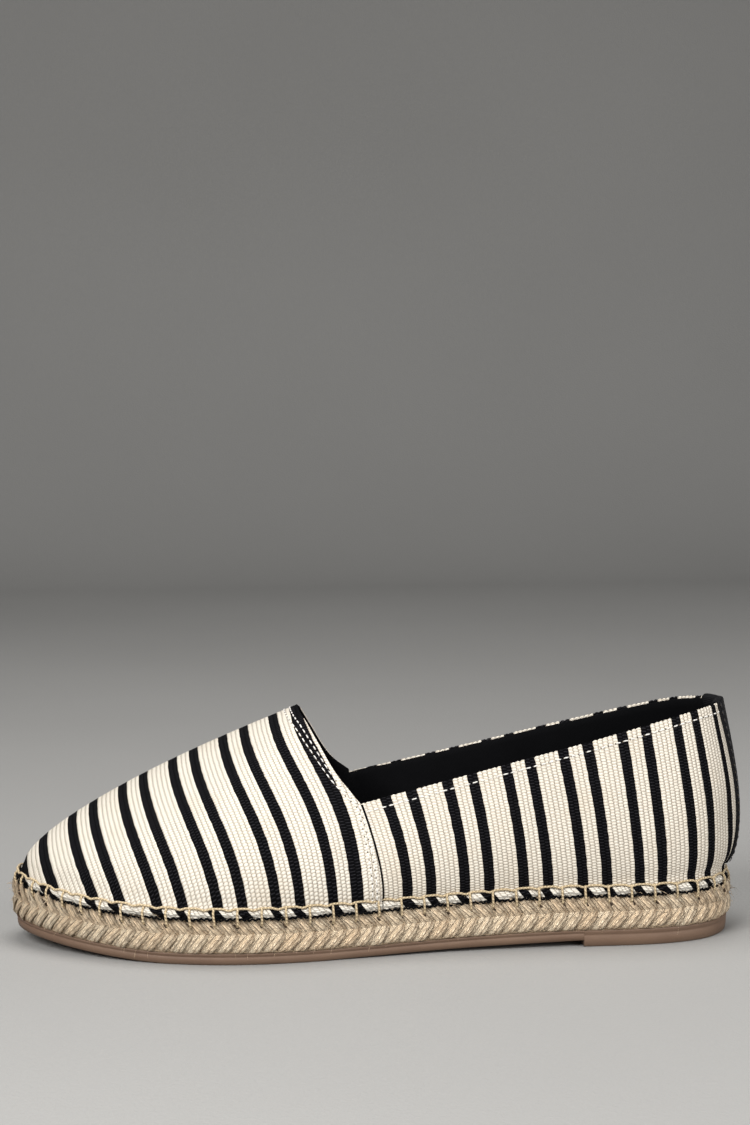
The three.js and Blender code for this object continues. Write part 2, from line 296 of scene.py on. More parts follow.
def dry_jute(name, stretch):
    """Straw-coloured fibre, streaked along its length; stretch is the streaks' length over their width."""
    finish, tree = new_finish(name)
    lay = put(tree, "ShaderNodeUVMap", uv_map="fibres").outputs[0]
    long = put(tree, "ShaderNodeMapping", {"Vector": lay, "Scale": (1 / stretch, 1, 1)}).outputs[0]
    fine, coarse = noise(tree, long, 5.5, 2), noise(tree, long, 1.5, 3)
    tone = put(tree, "ShaderNodeAttribute", attribute_name="tone").outputs["Fac"]
    pale = mix(tree, tone, JUTE_DARK, JUTE_PALE)
    streak = put(tree, "ShaderNodeMapRange", {0: coarse, 1: 0.38, 2: 0.6, 3: 0.0, 4: 1.0}).outputs[0]
    thread = put(tree, "ShaderNodeMapRange", {0: fine, 1: 0.40, 2: 0.50, 3: 0.0, 4: 1.0}).outputs[0]
    colour = mix(tree, streak, mix(tree, 0.55, pale, JUTE_DARK), mix(tree, 0.35, pale, JUTE_PALE))
    colour = mix(tree, thread, mix(tree, 0.45, colour, JUTE_SHADOW), colour)
    across = put(tree, "ShaderNodeSeparateXYZ", {0: lay}).outputs["Y"]
    wander = calc(tree, "ADD", across, calc(tree, "MULTIPLY", coarse, 1.1))
    between = calc(tree, "SINE", calc(tree, "MULTIPLY", wander, 2 * math.pi / PLY_WIDTH))
    groove = put(tree, "ShaderNodeMapRange", {0: between, 1: 0.72, 2: 1.0, 3: 0.0, 4: 0.62}).outputs[0]
    colour = mix(tree, groove, colour, JUTE_SHADOW)
    relief = calc(tree, "SUBTRACT", calc(tree, "ADD", thread, streak), calc(tree, "MULTIPLY", groove, 2.0))
    shade(tree, colour, 0.9, relief, 0.0005)
    return finish


def row_tree():
    """Geometry Nodes that lay a copy of a piece at every spacing along lines, its X along the line
    and its Z along the line's outward attribute, turned and resized a little by a fixed draw."""
    tree = bpy.data.node_groups.new("row of pieces", "GeometryNodeTree")
    face = tree.interface
    for name, kind in (("Line", "Geometry"), ("Piece", "Object"), ("Spacing", "Float"),
                       ("Unevenness", "Float"), ("Seed", "Int"), ("Finish", "Material")):
        face.new_socket(name, in_out="INPUT", socket_type=f"NodeSocket{kind}")
    face.new_socket("Row", in_out="OUTPUT", socket_type="NodeSocketGeometry")
    ask = put(tree, "NodeGroupInput").outputs
    line = put(tree, "GeometryNodeMeshToCurve", {0: ask["Line"]}).outputs[0]
    line = put(tree, "GeometryNodeResampleCurve", {"Curve": line, "Length": ask["Spacing"]}, mode="LENGTH")
    along = put(tree, "GeometryNodeInputTangent").outputs[0]
    outward = put(tree, "GeometryNodeInputNamedAttribute", {"Name": "outward"}, data_type="FLOAT_VECTOR")
    square = put(tree, "FunctionNodeAxesToRotation", {0: outward.outputs[0], 1: along},
                 primary_axis="Z", secondary_axis="X").outputs[0]
    uneven = ask["Unevenness"]
    least = calc(tree, "SUBTRACT", 1.0, uneven)
    most = calc(tree, "ADD", 1.0, uneven)
    size = put(tree, "FunctionNodeRandomValue", {"Seed": ask["Seed"]}, data_type="FLOAT_VECTOR")
    for bound, end in enumerate((least, most)):
        same = put(tree, "ShaderNodeCombineXYZ", {0: end, 1: end, 2: end}).outputs[0]
        tree.links.new(same, size.inputs[bound])
    tilt = put(tree, "FunctionNodeRandomValue", {"Seed": ask["Seed"]}, data_type="FLOAT")
    tree.links.new(calc(tree, "MULTIPLY", uneven, -1.0), tilt.inputs[2])
    tree.links.new(uneven, tilt.inputs[3])
    twist = put(tree, "ShaderNodeCombineXYZ", {2: tilt.outputs[1]}).outputs[0]
    turn = put(tree, "FunctionNodeEulerToRotation", {0: twist}).outputs[0]
    turned = put(tree, "FunctionNodeRotateRotation", {0: square, 1: turn}, rotation_space="LOCAL").outputs[0]
    copy = put(tree, "GeometryNodeObjectInfo", {"Object": ask["Piece"]}).outputs["Geometry"]
    laid = put(tree, "GeometryNodeInstanceOnPoints", {
        "Points": line.outputs[0], "Instance": copy, "Rotation": turned, "Scale": size.outputs[0]}).outputs[0]
    tone = put(tree, "FunctionNodeRandomValue", {"Seed": ask["Seed"]}, data_type="FLOAT").outputs[1]
    toned = put(tree, "GeometryNodeStoreNamedAttribute", {"Geometry": laid, "Name": "tone", "Value": tone},
                data_type="FLOAT", domain="INSTANCE").outputs[0]
    real = put(tree, "GeometryNodeRealizeInstances", {0: toned}).outputs[0]
    done = put(tree, "GeometryNodeSetMaterial", {"Geometry": real, "Material": ask["Finish"]}).outputs[0]
    put(tree, "NodeGroupOutput", {0: done})
    return tree


ROW_TREE = row_tree()


def lay_row(name, lines, outwards, copy, spacing, finish, uneven=0.0, seed=1, closed=False):
    """A piece made of copies laid along lines of points, each with its outward directions."""
    mesh = bpy.data.meshes.new(name + "_line")
    edges, first = [], 0
    for line in lines:
        count = len(line)
        edges += [(first + k, first + (k + 1) % count) for k in range(count if closed else count - 1)]
        first += count
    points = (np.concatenate(lines) + TO_FRAME) / 1000
    mesh.from_pydata(points.tolist(), edges, [])
    outward = mesh.attributes.new("outward", "FLOAT_VECTOR", "POINT")
    outward.data.foreach_set("vector", np.concatenate(outwards).astype(np.float32).ravel())
    holder = new_object(name + "_line", mesh)
    nodes = holder.modifiers.new("row", "NODES")
    nodes.node_group = ROW_TREE
    names = {s.name: s.identifier for s in ROW_TREE.interface.items_tree if s.in_out == "INPUT"}
    for key, value in (("Piece", copy), ("Spacing", spacing / 1000), ("Unevenness", uneven),
                       ("Seed", seed), ("Finish", finish)):
        nodes[names[key]] = value
    graph = bpy.context.evaluated_depsgraph_get()
    done = bpy.data.meshes.new_from_object(holder.evaluated_get(graph))
    done.name = name
    piece = new_object(name, done)
    for spare in (holder, copy):
        bpy.data.objects.remove(spare)
    done.polygons.foreach_set("use_smooth", np.ones(len(done.polygons), bool))
    return piece


def strand(lean, long, wide=STRAND_WIDTH, thick=STRAND_THICK, level_foot=0.0):
    """One visible bend of the plait: a flat ribbon of fibres, tucked in at both its ends and laid
    like a shingle against the next. Its foot may be level, where it meets the rubber."""
    along = np.array([-1, -0.86, -0.55, 0, 0.55, 0.86, 1])[:, None]
    around = turns(12)[None, :]
    swell = np.sqrt(1 - 0.4 * np.abs(along) ** 9)
    y = np.sign(np.cos(around)) * np.abs(np.cos(around)) ** 0.5 * wide / 2 * swell + 0.06 * wide * along ** 3
    x = along * long / 2 - level_foot * ((1 + along) / 2) ** 2 * y / math.tan(lean)
    z = np.sin(around) * thick / 2 * swell - 1.3 * np.abs(along) ** 5 + 0.26 * y
    c, s = math.cos(lean), math.sin(lean)
    points = np.stack([c * x - s * y, s * x + c * y, z + 0 * x], -1)
    lay = np.stack([x, around * wide / 2 + 0 * x], -1)
    return add_piece("strand", points, sweep(points, False), {"fibres": lay}, shift=False)


def jute_ring(around, inset, up):
    """Points round the jute, moved in from its edge, at a share of its height."""
    return np.column_stack([outline(around, inset), jute_foot(place_of(around)) + JUTE_HEIGHT * up])


def square_out(around):
    """Level directions square out of the sole's edge."""
    return np.column_stack([outline(around, 0) - outline(around, 1), 0 * around])


def run_along(points):
    """How far each point of a line, or of each line in a stack, lies along it from its start."""
    run = np.cumsum(np.linalg.norm(np.diff(points, axis=-2), axis=-1), axis=-1)
    return np.concatenate([np.zeros(run.shape[:-1] + (1,)), run], axis=-1)


def length_round(line):
    """The length of a line that closes on itself."""
    return run_along(np.vstack([line, line[:1]]))[-1]


def fibre_end():
    """One fibre that stands loose from the jute, thicker than life so that it shows."""
    t = np.linspace(0, 1, 6)[:, None]
    around = turns(3)[None, :]
    thick = 0.09 * (1.15 - t)
    points = np.stack([4.5 * t + thick * np.cos(around), 2.6 * t ** 2 + thick * np.sin(around),
                       0.2 + 1.1 * np.sin(2.2 * t) + 0 * around], -1)
    return add_piece("fibre", points, sweep(points, False), {"fibres": points[..., :2]}, shift=False)


def make_jute_body():
    around = turns(400)
    wall = ((1.4, 0.0), (1.0, 0.12), (1.0, 0.5), (1.0, 0.88), (1.4, 1.0), (4.0, 1.0))
    rings = np.array([jute_ring(around, inset, up) for inset, up in wall])
    lay = rings[:, :, [0, 2]] + rings[:, :, [1, 1]] * 0.5
    core = weld(add_piece("jute_body", rings, layer(rings), {"fibres": lay}))
    finish_piece(core, dry_jute("jute in shade", 5), "jute_braid", "jute_midsole")


def make_plait():
    plait = dry_jute("plaited jute", 9)
    around = turns(900)
    # name, height, lean in radians, length and level foot in millimetres, seed
    rows = (("plait_upper_row", UPPER_ROW, 2.30, 8.6, 0.0, 4),
            ("plait_lower_row", LOWER_ROW, 0.84, 9.5, 0.9, 9))
    for name, up, lean, long, level, seed in rows:
        line = jute_ring(around, 0.6, up)
        spacing = length_round(line) / (round(length_round(line) / PLAIT_PITCH) + 0.5)
        bend = strand(lean, long, level_foot=level)
        row = lay_row(name, [line], [square_out(around)], bend, spacing, plait, 0.08, seed, closed=True)
        finish_piece(row, plait, "jute_braid")
    # each row of fibres has its own count of points, so that their fibres don't stand in step
    arounds = [turns(900 - 37 * k) for k in range(len(FIBRE_ROWS))]
    lines = [jute_ring(around, 0.3, up) for around, up in zip(arounds, FIBRE_ROWS)]
    outwards = [square_out(around) for around in arounds]
    fuzz = lay_row("loose_fibres", lines, outwards, fibre_end(), FIBRE_SPACING, plait, 0.95, 14, closed=True)
    finish_piece(fuzz, plait, "jute_braid")


make_jute_body()
make_plait()

# ---- Insole ----------------------------------------------------------------------------------
# A thin foam sock covered in the lining cloth, laid on the jute inside the upper. Its edge is
# rounded, and its middle has sunk a little under the foot.
UPPER_SEAT = 0.6                 # the upper stands this far in from the jute's edge
WALL = 2.0                       # canvas, hem and lining together
INSOLE_HEIGHT = 3.0
COTTON_PITCH = 0.55              # from one thread of the lining to the next


def cloth_map(tree):
    """A cloth's own map in millimetres, and its two axes."""
    lay = put(tree, "ShaderNodeUVMap", uv_map="cloth").outputs[0]
    return lay, put(tree, "ShaderNodeSeparateXYZ", {0: lay}).outputs


def lifted(tree, wave):
    """A wave between -1 and 1, brought to lie between 0 and 1."""
    return calc(tree, "ADD", calc(tree, "MULTIPLY", wave, 0.5), 0.5)


def black_cotton(name):
    """Plain black lining cloth with a fine even weave, lying along the skin of the last."""
    finish, tree = new_finish(name)
    lay, axes = cloth_map(tree)
    across, along = (calc(tree, "SINE", calc(tree, "MULTIPLY", axes[k], 2 * math.pi / COTTON_PITCH))
                     for k in (0, 1))
    weave = lifted(tree, calc(tree, "MULTIPLY", across, along))
    rub = noise(tree, lay, 0.06, 4)
    # painted light and shade: the weave's raised crossings are lighter and its hollows darker; the rubbed
    # patches are wear
    thread = mix(tree, weave, (0.001, 0.001, 0.0011, 1), (0.006, 0.006, 0.0066, 1))
    colour = mix(tree, calc(tree, "MULTIPLY", rub, 0.35), thread, (0.011, 0.011, 0.012, 1))
    shade(tree, colour, 0.95, weave, 0.00012, **{"Specular IOR Level": 0.02})
    return finish


def make_insole():
    around = turns(360)
    seat = jute_foot(place_of(around)) + JUTE_HEIGHT + 0.1
    # in_by: further in than the upper's wall; up: share of the sock's height
    sides = ((0.4, 0.0), (0.0, 0.15), (1.3, 0.6), (2.0, 0.85), (3.4, 1.0), (9.0, 0.93), (17.0, 0.86))
    rings = np.array([np.column_stack([outline(around, UPPER_SEAT + WALL + in_by), seat + INSOLE_HEIGHT * up])
                      for in_by, up in sides])
    piece = weld(add_piece("insole_sock", rings, layer(rings), {"cloth": rings[..., :2]}))
    finish_piece(piece, black_cotton("black sock cloth"), "lining_cloth", "insole")


make_insole()

# ---- Lining ----------------------------------------------------------------------------------
# A bag of black cotton sewn to the inside of the canvas, which ends just under the topline. It
# takes the shape of the last, which is worked out here rib by rib, with the creases of wear.
GAP = 0.3                        # between the jute and the cloth that stands on it
HEEL_HEIGHT, INSTEP_HEIGHT = 81.2, 81.0
CORNER_FOOT = 0.5                # rib under the corner where throat and topline meet
THROAT_MIDDLE = -2.5             # Y of the throat's peak
HEM_SHARE, BULGE_SKEW = 0.1, 0.7   # the lowest tenth of a rib stands straight; widest under mid height
TOE_TUCK, HEEL_TUCK = 2.4, 1.2   # how far the cloth's foot stands in from its seat there
TUCK_TALL = 0.11                 # share of a rib that the tuck reaches up
OVERLAP = math.radians(4.5)      # how far the quarters run on under the vamp

# foot: where the rib stands, as a share of the sole; top_x: its top's place from the heel; top_y: half the
# opening there; drop: how far under the instep it ends; lean: how it leans in; bulge: how far it swells
RIBS = np.array([
    (0.00, 2.8, 0.0, INSTEP_HEIGHT - HEEL_HEIGHT, 1.0, 4.4), (0.03, 7.2, 11.5, 0.2, 1.1, 4.2),
    (0.07, 17.0, 19.5, 1.6, 1.2, 3.9), (0.13, 33.0, 24.5, 5.2, 1.4, 3.6), (0.22, 58.5, 28.0, 11.4, 1.6, 3.2),
    (0.36, 95.0, 30.5, 20.2, 1.8, 2.9), (0.50, 134.5, 33.5, 29.6, 1.85, 2.8),
    (0.58, 142.5, 28.2, 20.2, 1.95, 2.6), (0.68, 148.5, 21.5, 9.9, 1.85, 2.2),
    (0.78, 152.0, 15.0, 3.6, 1.7, 2.0), (0.87, 153.7, 9.0, 1.2, 1.57, 1.8),
    (0.94, 154.2, 4.5, 0.3, 1.5, 1.6), (1.00, 154.3, 0.0, 0.0, 1.47, 1.5),
], dtype=[("foot", float), ("top_x", float), ("top_y", float), ("drop", float), ("lean", float),
          ("bulge", float)])

# Soft creases and swellings. turn: degrees round from the heel, negative on the inner side;
# up: share of the rib; depth: outwards, in mm; wide, tall: reach in degrees and in ribs' shares; lean: slant
CREASES = np.array([
    (93, 0.62, -0.9, 3.5, 0.30, -0.1), (99, 0.50, 0.5, 4.0, 0.30, -0.1), (84, 0.85, -0.7, 3.0, 0.12, 0.2),
    (-93, 0.62, -0.9, 3.5, 0.30, 0.1), (-85, 0.80, -0.8, 4.0, 0.15, -0.2), (62, 0.55, -0.8, 5.0, 0.35, 0.05),
    (71, 0.45, 0.6, 4.0, 0.30, 0.05), (44, 0.50, -0.7, 4.0, 0.30, 0.08), (53, 0.60, 0.5, 4.0, 0.35, 0.05),
    (-58, 0.55, -0.9, 5.0, 0.35, -0.05), (-40, 0.45, -0.8, 4.0, 0.30, -0.05),
    (20, 0.35, -0.9, 6.0, 0.16, 0.0), (-18, 0.35, -0.9, 6.0, 0.16, 0.0), (128, 0.30, -0.5, 7.0, 0.20, 0.1),
    (150, 0.22, 0.5, 9.0, 0.12, 0.0), (-132, 0.32, -0.6, 7.0, 0.22, -0.1), (172, 0.50, -0.5, 16.0, 0.14, 0.0),
    (116, 0.85, -0.5, 7.0, 0.10, 0.1), (-110, 0.85, -0.6, 6.0, 0.12, -0.1),
], dtype=[(key, float) for key in ("turn", "up", "depth", "wide", "tall", "lean")])


def tuck(angle):
    """How far the cloth's foot is drawn in, which is only at the toe and the heel."""
    turn, _ = side_of(angle)
    return TOE_TUCK * smooth_step((turn - 2.3) / 0.7) + HEEL_TUCK * smooth_step((0.6 - turn) / 0.6)


def creased(angle, up):
    """How far the creases push the cloth out, or in with a minus."""
    away = 0 * angle * up
    for row in CREASES:
        aside = (np.degrees(angle) - row["turn"] + 180) % 360 - 180
        high = (up - row["up"] - row["lean"] * aside / row["wide"]) / row["tall"]
        away = away + row["depth"] * np.exp(-(aside / row["wide"]) ** 2 - high ** 2)
    return away


def last(angle, up):
    """Points of the last's skin, from up 0 at the sole to up 1 at the topline."""
    angle, up = np.broadcast_arrays(angle, up)
    turn, side = side_of(angle)
    rib = {key: read_column(RIBS, "foot", key, turn, CORNER_FOOT) for key in RIBS.dtype.names[1:]}
    foot = outline(angle, UPPER_SEAT)
    foot_z = jute_foot(place_of(turn)) + JUTE_HEIGHT + GAP
    forward = smooth_step(rib["top_x"] / RIBS["top_x"][-1])
    top = np.stack([rib["top_x"], THROAT_MIDDLE * forward + side * rib["top_y"]], -1)
    inwards = np.clip(up, 0, 1) ** rib["lean"]
    swell = np.sin(math.pi * np.clip((up - HEM_SHARE) / (1 - HEM_SHARE), 0, 1) ** BULGE_SKEW)
    out = foot - outline(angle, UPPER_SEAT + 1)
    away = rib["bulge"] * swell + creased(angle, up) * np.sin(math.pi * np.clip(up, 0, 1)) ** 0.5
    away -= tuck(angle) * np.exp(-(up / TUCK_TALL) ** 2)
    plan = foot + (top - foot) * inwards[..., None] + out * away[..., None]
    return np.concatenate([plan, (foot_z + (INSTEP_HEIGHT - rib["drop"] - foot_z) * up)[..., None]], -1)


def skin_normal(angle, up):
    step = 0.004
    across = last(angle + step, up) - last(angle - step, up)
    upwards = last(angle, np.minimum(1, up + step)) - last(angle, np.maximum(0, up - step))
    square = np.cross(across, upwards)
    return -square / np.linalg.norm(square, axis=-1, keepdims=True)


def on_last(angle, up, out):
    """Points out millimetres off the last's skin."""
    angle, up, out = np.broadcast_arrays(angle, up, out)
    return last(angle, up) + skin_normal(angle, up) * out[..., None]


def cloth_sections(angles, ups, outer, inner, edge):
    """A cloth's section up each rib: its outer face, its rounded top edge and its inner face."""
    angle = angles[:, None]
    faces = [on_last(angle, ups[None, :], outer)]
    # share of the way through to the inner face, share of the edge's height
    for through, high in ((0.2, 0.75), (0.5, 1.0), (0.5, 1.02), (0.8, 0.75)):
        rim = on_last(angle, ups[-1], outer * (1 - through) + inner * through)
        faces.append(rim + np.array([0, 0, edge * high]))
    faces.append(on_last(angle, ups[None, ::-1], inner))
    return np.concatenate(faces, axis=1)


LINING_COTTON = black_cotton("black lining cotton")


def make_lining():
    angles, ups = turns(260), np.linspace(0, 1, 22)
    # under the vamp the quarters' canvas is missing, and the lining lies that much further out
    front = smooth_step((side_of(angles)[0] - math.pi / 2 - OVERLAP) / 0.06)[:, None]
    sections = cloth_sections(angles, ups, 1.2 * front - 1.25, front - 1.95, edge=0.1)
    lay = np.stack([run_along(sections[:, 10])[:, None] + 0 * sections[..., 0], run_along(sections)], -1)
    piece = add_piece("lining", sections, sweep(sections, True), {"cloth": lay})
    finish_piece(piece, LINING_COTTON, "lining_cloth", "upper")


make_lining()

# ---- Quarters --------------------------------------------------------------------------------
# Ribbed canvas woven in a repeat of twelve columns: two black, three cream, two black, five cream.
# The quarters run from the vamp round the heel, their columns leaning a little to the toe.
REPEAT, COLUMNS = 20.6, 12
PICK = 1.05                      # height of one woven mark up a column
CANVAS_THICK = 1.1
# the cream; a darker cream for the yarn's tone, for soil and for painted shade; and the painted shade in the
# crevices
CREAM, CREAM_SOIL_AND_SHADE, CREAM_PIT_SHADE = (0.80, 0.77, 0.69, 1), (0.55, 0.45, 0.33, 1), (0.22, 0.155, 0.10, 1)
BLACK, BLACK_DASH = (0.0025, 0.0025, 0.003, 1), (0.045, 0.043, 0.048, 1)
COLUMN_LEAN = 6.7                # how far a column's top lies nearer the toe than its foot
QUARTER_START = 25.2             # from the back seam to a black column's edge, at the foot
FOOT_STRETCH, TOP_STRETCH = 0.981, 1.03
HEEL_PULL, HEEL_PULL_REACH = 5.0, 20   # how far the columns' feet are drawn to the back seam, and from where
JAG = 0.55                       # height of the columns' rounded ends along the topline


def striped_canvas(name, painted_shade=0.0):
    """The striped canvas. Its map runs in millimetres across the columns and along them."""
    finish, tree = new_finish(name)
    lay, axes = cloth_map(tree)
    wander = calc(tree, "MULTIPLY", calc(tree, "SUBTRACT", noise(tree, lay, 0.35, 3), 0.5), 0.5)
    across = calc(tree, "MULTIPLY", calc(tree, "ADD", axes[0], wander), COLUMNS / REPEAT)
    column = calc(tree, "FLOOR", across)
    share = calc(tree, "FRACT", across)
    spot = calc(tree, "FLOORED_MODULO", across, float(COLUMNS))
    # columns 0 and 1, and 5 and 6, are black, and the black yarn spreads a little past them
    black = calc(tree, "ADD", calc(tree, "LESS_THAN", spot, 2.12), calc(
        tree, "MULTIPLY", calc(tree, "GREATER_THAN", spot, 4.97), calc(tree, "LESS_THAN", spot, 7.12)))
    stagger = calc(tree, "MULTIPLY", calc(tree, "FLOORED_MODULO", column, 2.0), 0.5)
    pick = calc(tree, "FRACT", calc(tree, "ADD", calc(tree, "MULTIPLY", axes[1], 1 / PICK), stagger))
    # both are 0 at their edges and 1 at their middles
    round_column, round_pick = (calc(tree, "MULTIPLY", calc(tree, "MULTIPLY", part, 4.0),
                                     calc(tree, "SUBTRACT", 1.0, part)) for part in (share, pick))
    round_column = calc(tree, "POWER", round_column, 0.6)
    swell = calc(tree, "ADD", 0.45, calc(tree, "MULTIPLY", round_pick, 0.55))
    ribs = calc(tree, "MULTIPLY", round_column, swell)
    # painted shade in the crevices between the columns, deepest between the picks
    pit_shade = calc(tree, "MULTIPLY", calc(tree, "SUBTRACT", 1.0, round_column),
                calc(tree, "SUBTRACT", 1.35, calc(tree, "MULTIPLY", round_pick, 1.15)))
    thread = noise(tree, lay, 1.6, 2)
    # the yarn's tone darkens the cream by a share of 0.55 plus the copy's own amount: a plus gives a copy in
    # painted shade, a minus a copy in painted light
    cream = mix(tree, calc(tree, "MULTIPLY", thread, 0.55 + painted_shade), CREAM, CREAM_SOIL_AND_SHADE)
    # painted shade where each pick dips down to the next
    dip_shade = calc(tree, "MULTIPLY", calc(tree, "SUBTRACT", 1.0, round_pick), 0.42)
    cream = mix(tree, dip_shade, cream, CREAM_SOIL_AND_SHADE)
    cream = mix(tree, calc(tree, "MULTIPLY", pit_shade, 0.95), cream, CREAM_PIT_SHADE)
    soiled = put(tree, "ShaderNodeMapRange", {0: noise(tree, lay, 0.045, 3), 1: 0.52, 2: 0.75, 3: 0, 4: 0.35})
    cream = mix(tree, soiled.outputs[0], cream, CREAM_SOIL_AND_SHADE)
    dash = calc(tree, "MULTIPLY", calc(tree, "LESS_THAN", round_pick, 0.5), round_column)
    ink = mix(tree, calc(tree, "MULTIPLY", dash, calc(tree, "MULTIPLY", thread, 0.9)), BLACK, BLACK_DASH)
    colour = mix(tree, black, cream, ink)
    height = calc(tree, "ADD", ribs, calc(tree, "MULTIPLY", thread, 0.25))
    shade(tree, colour, 0.9, height, 0.0005, **{"Specular IOR Level": 0.03})
    return finish


def quarter_run(angle):
    """How far round from the back seam a rib stands, halfway up."""
    line = np.linspace(0, math.pi / 2 + 2 * OVERLAP, 400)
    return np.interp(np.abs(angle), line, run_along(last(line, 0.5)))


def quarter_across(angle, up):
    """Millimetres across the quarters' columns at a share of a rib's height."""
    run = quarter_run(angle)
    run = run + HEEL_PULL * np.exp(-run / HEEL_PULL_REACH) * (1 - up) - QUARTER_START - COLUMN_LEAN * up
    return run * (FOOT_STRETCH + (TOP_STRETCH - FOOT_STRETCH) * up)


def jagged(across):
    """The woven columns' rounded ends along a cut edge, from 0 between columns to 1 at their middles."""
    share = np.mod(across * COLUMNS / REPEAT, 1)
    return np.sqrt(np.clip(4 * share * (1 - share), 0, 1))


def make_quarters():
    reach = math.pi / 2 + OVERLAP
    angles, ups = turns(620, -reach, reach, closed=False), np.linspace(0, 1, 34)
    sections = cloth_sections(angles, ups, 0.0, -CANVAS_THICK, edge=0.5)
    heights = run_along(sections)
    top = heights[:, [len(ups) - 1]]
    across = quarter_across(angles[:, None], np.minimum(heights / top, 1))
    near_top = np.exp(-((heights - top - 0.6) / 1.3) ** 2)
    sections[..., 2] += JAG * near_top * (jagged(across) - 0.6)
    lay = np.stack([across, heights], -1)
    piece = add_piece("quarters", sections, sweep(sections, False), {"cloth": lay})
    # the quarters' copy is painted darker than the vamp's: painted shade on the quarters
    finish_piece(piece, striped_canvas("striped canvas of the quarters", 0.14), "striped_canvas")


make_quarters()

# ---- Vamp ------------------------------------------------------------------------------------
# One piece of the same canvas, turned in at the throat and lapped over the quarters at the side
# seams. Its columns cross the ridge square and swing back to the heel as they go down.
VAMP_OUT, VAMP_IN = 0.85, 0.02   # how far its two faces lie off the last
THROAT_SLOPE = 0.42              # fall of the ridge to the toe at the throat
SWING, SWING_DROP, SWING_BEND = 19.5, 27.0, 1.6   # a column's swing to the heel, and how it comes on
SWING_FADE = 0.0029              # how much less a column swings for each millimetre nearer the toe
RIDGE_STRETCH = 1.157            # length along the ridge over length along the floor
SIDE_STRETCH = 1.08              # length down the vamp's side over height
PEAK_X = 154.3
EDGE_COLUMN, EDGE_STRETCH = 3.66, 0.78   # the black column along the throat is pulled wide


def vamp_lay(points):
    """Millimetres across the columns from the throat's peak, and along them from the ridge."""
    x, y, z = points[..., 0], points[..., 1], points[..., 2]
    ridge = on_last(math.pi, np.linspace(1, 0, 60), VAMP_OUT)
    ridge_x = np.concatenate([[PEAK_X - 50], ridge[:, 0]])
    ridge_z = np.concatenate([[INSTEP_HEIGHT + 50 * THROAT_SLOPE], ridge[:, 2]])
    # where the column through each point crosses the ridge, found by going nearer step by step
    crossing = x
    for _ in range(16):
        below = np.maximum(np.interp(crossing, ridge_x, ridge_z) - z, 0)
        fade = 1 - SWING_FADE * np.clip(crossing - PEAK_X, 0, 75)
        swing = SWING * fade * (1 - np.exp(-(below / SWING_DROP) ** SWING_BEND))
        crossing = 0.4 * crossing + 0.6 * (x + swing)
    aside = y - THROAT_MIDDLE
    across = (crossing - PEAK_X) * RIDGE_STRETCH
    across = np.maximum(across, EDGE_COLUMN - EDGE_STRETCH * (EDGE_COLUMN - across))
    return np.stack([across, np.hypot(aside, SIDE_STRETCH * below) * np.sign(aside)], -1)


def make_vamp():
    angles = turns(520, math.pi / 2, 3 * math.pi / 2, closed=False)
    ups = np.linspace(0, 1, 60)
    sections = cloth_sections(angles, ups, VAMP_OUT, VAMP_IN, edge=0.45)
    piece = add_piece("vamp", sections, sweep(sections, False), {"cloth": vamp_lay(sections)})
    finish_piece(piece, striped_canvas("striped canvas of the vamp"), "striped_canvas")


make_vamp()

# ---- Hem and blanket stitch ------------------------------------------------------------------
# The canvas is folded under at the foot into a soft roll and sewn to the jute by hand with a jute
# thread. It puffs out between the legs of the blanket stitch, and the lining's cut edge shows below.
STITCH_PITCH = 8.3
ROLL_UP, ROLL_IN = 1.5, 0.3      # the roll's middle, up from the jute and in from the cloth's face
ROLL_TALL, ROLL_WIDE = 1.6, 1.45   # half its height and half its width, where it puffs out most
THREAD_UP, THREAD_RADIUS = 3.5, 0.42


def skin_out(angle):
    """How far the cloth's face at the foot stands off the last: the vamp lies over the quarters."""
    turn, _ = side_of(angle)
    return VAMP_OUT * smooth_step((turn - math.pi / 2) / 0.05)


def foot_line(angles, up, out):
    """A line round the upper's foot, up millimetres over the jute and out from the cloth's face."""
    plan = outline(angles, UPPER_SEAT - skin_out(angles) + tuck(angles) - out)
    return np.column_stack([plan, jute_foot(place_of(angles)) + JUTE_HEIGHT + GAP + up])


def even_turns(count):
    """Turns round the last that lie evenly along the upper's foot, with their distances from the heel."""
    fine = turns(4001, closed=False)
    run = run_along(outline(fine, UPPER_SEAT))
    at = np.linspace(0, run[-1], count, endpoint=False)
    return np.interp(at, run, fine), at, run[-1]


def tube(centres, outwards, radius, closed, sides):
    """Sections of a thread along centres, with its map along and around it in millimetres."""
    along = np.roll(centres, -1, axis=0) - np.roll(centres, 1, axis=0)
    if not closed:
        along[0], along[-1] = centres[1] - centres[0], centres[-1] - centres[-2]
    along /= np.linalg.norm(along, axis=1, keepdims=True)
    across = np.cross(along, outwards)
    across /= np.linalg.norm(across, axis=1, keepdims=True)
    out = np.cross(across, along)
    around = turns(sides)[None, :]
    offsets = np.sin(around)[..., None] * across[:, None] + np.cos(around)[..., None] * out[:, None]
    lay = np.stack(np.broadcast_arrays(run_along(centres)[:, None], around * radius), -1)
    return centres[:, None] + radius * offsets, lay


def cloth_across(angle):
    """Millimetres across the columns where they reach the upper's foot."""
    turn, _ = side_of(angle)
    front = vamp_lay(last(angle, 0.04))[..., 0]
    return np.where(turn < math.pi / 2, quarter_across(turn, 0), front)


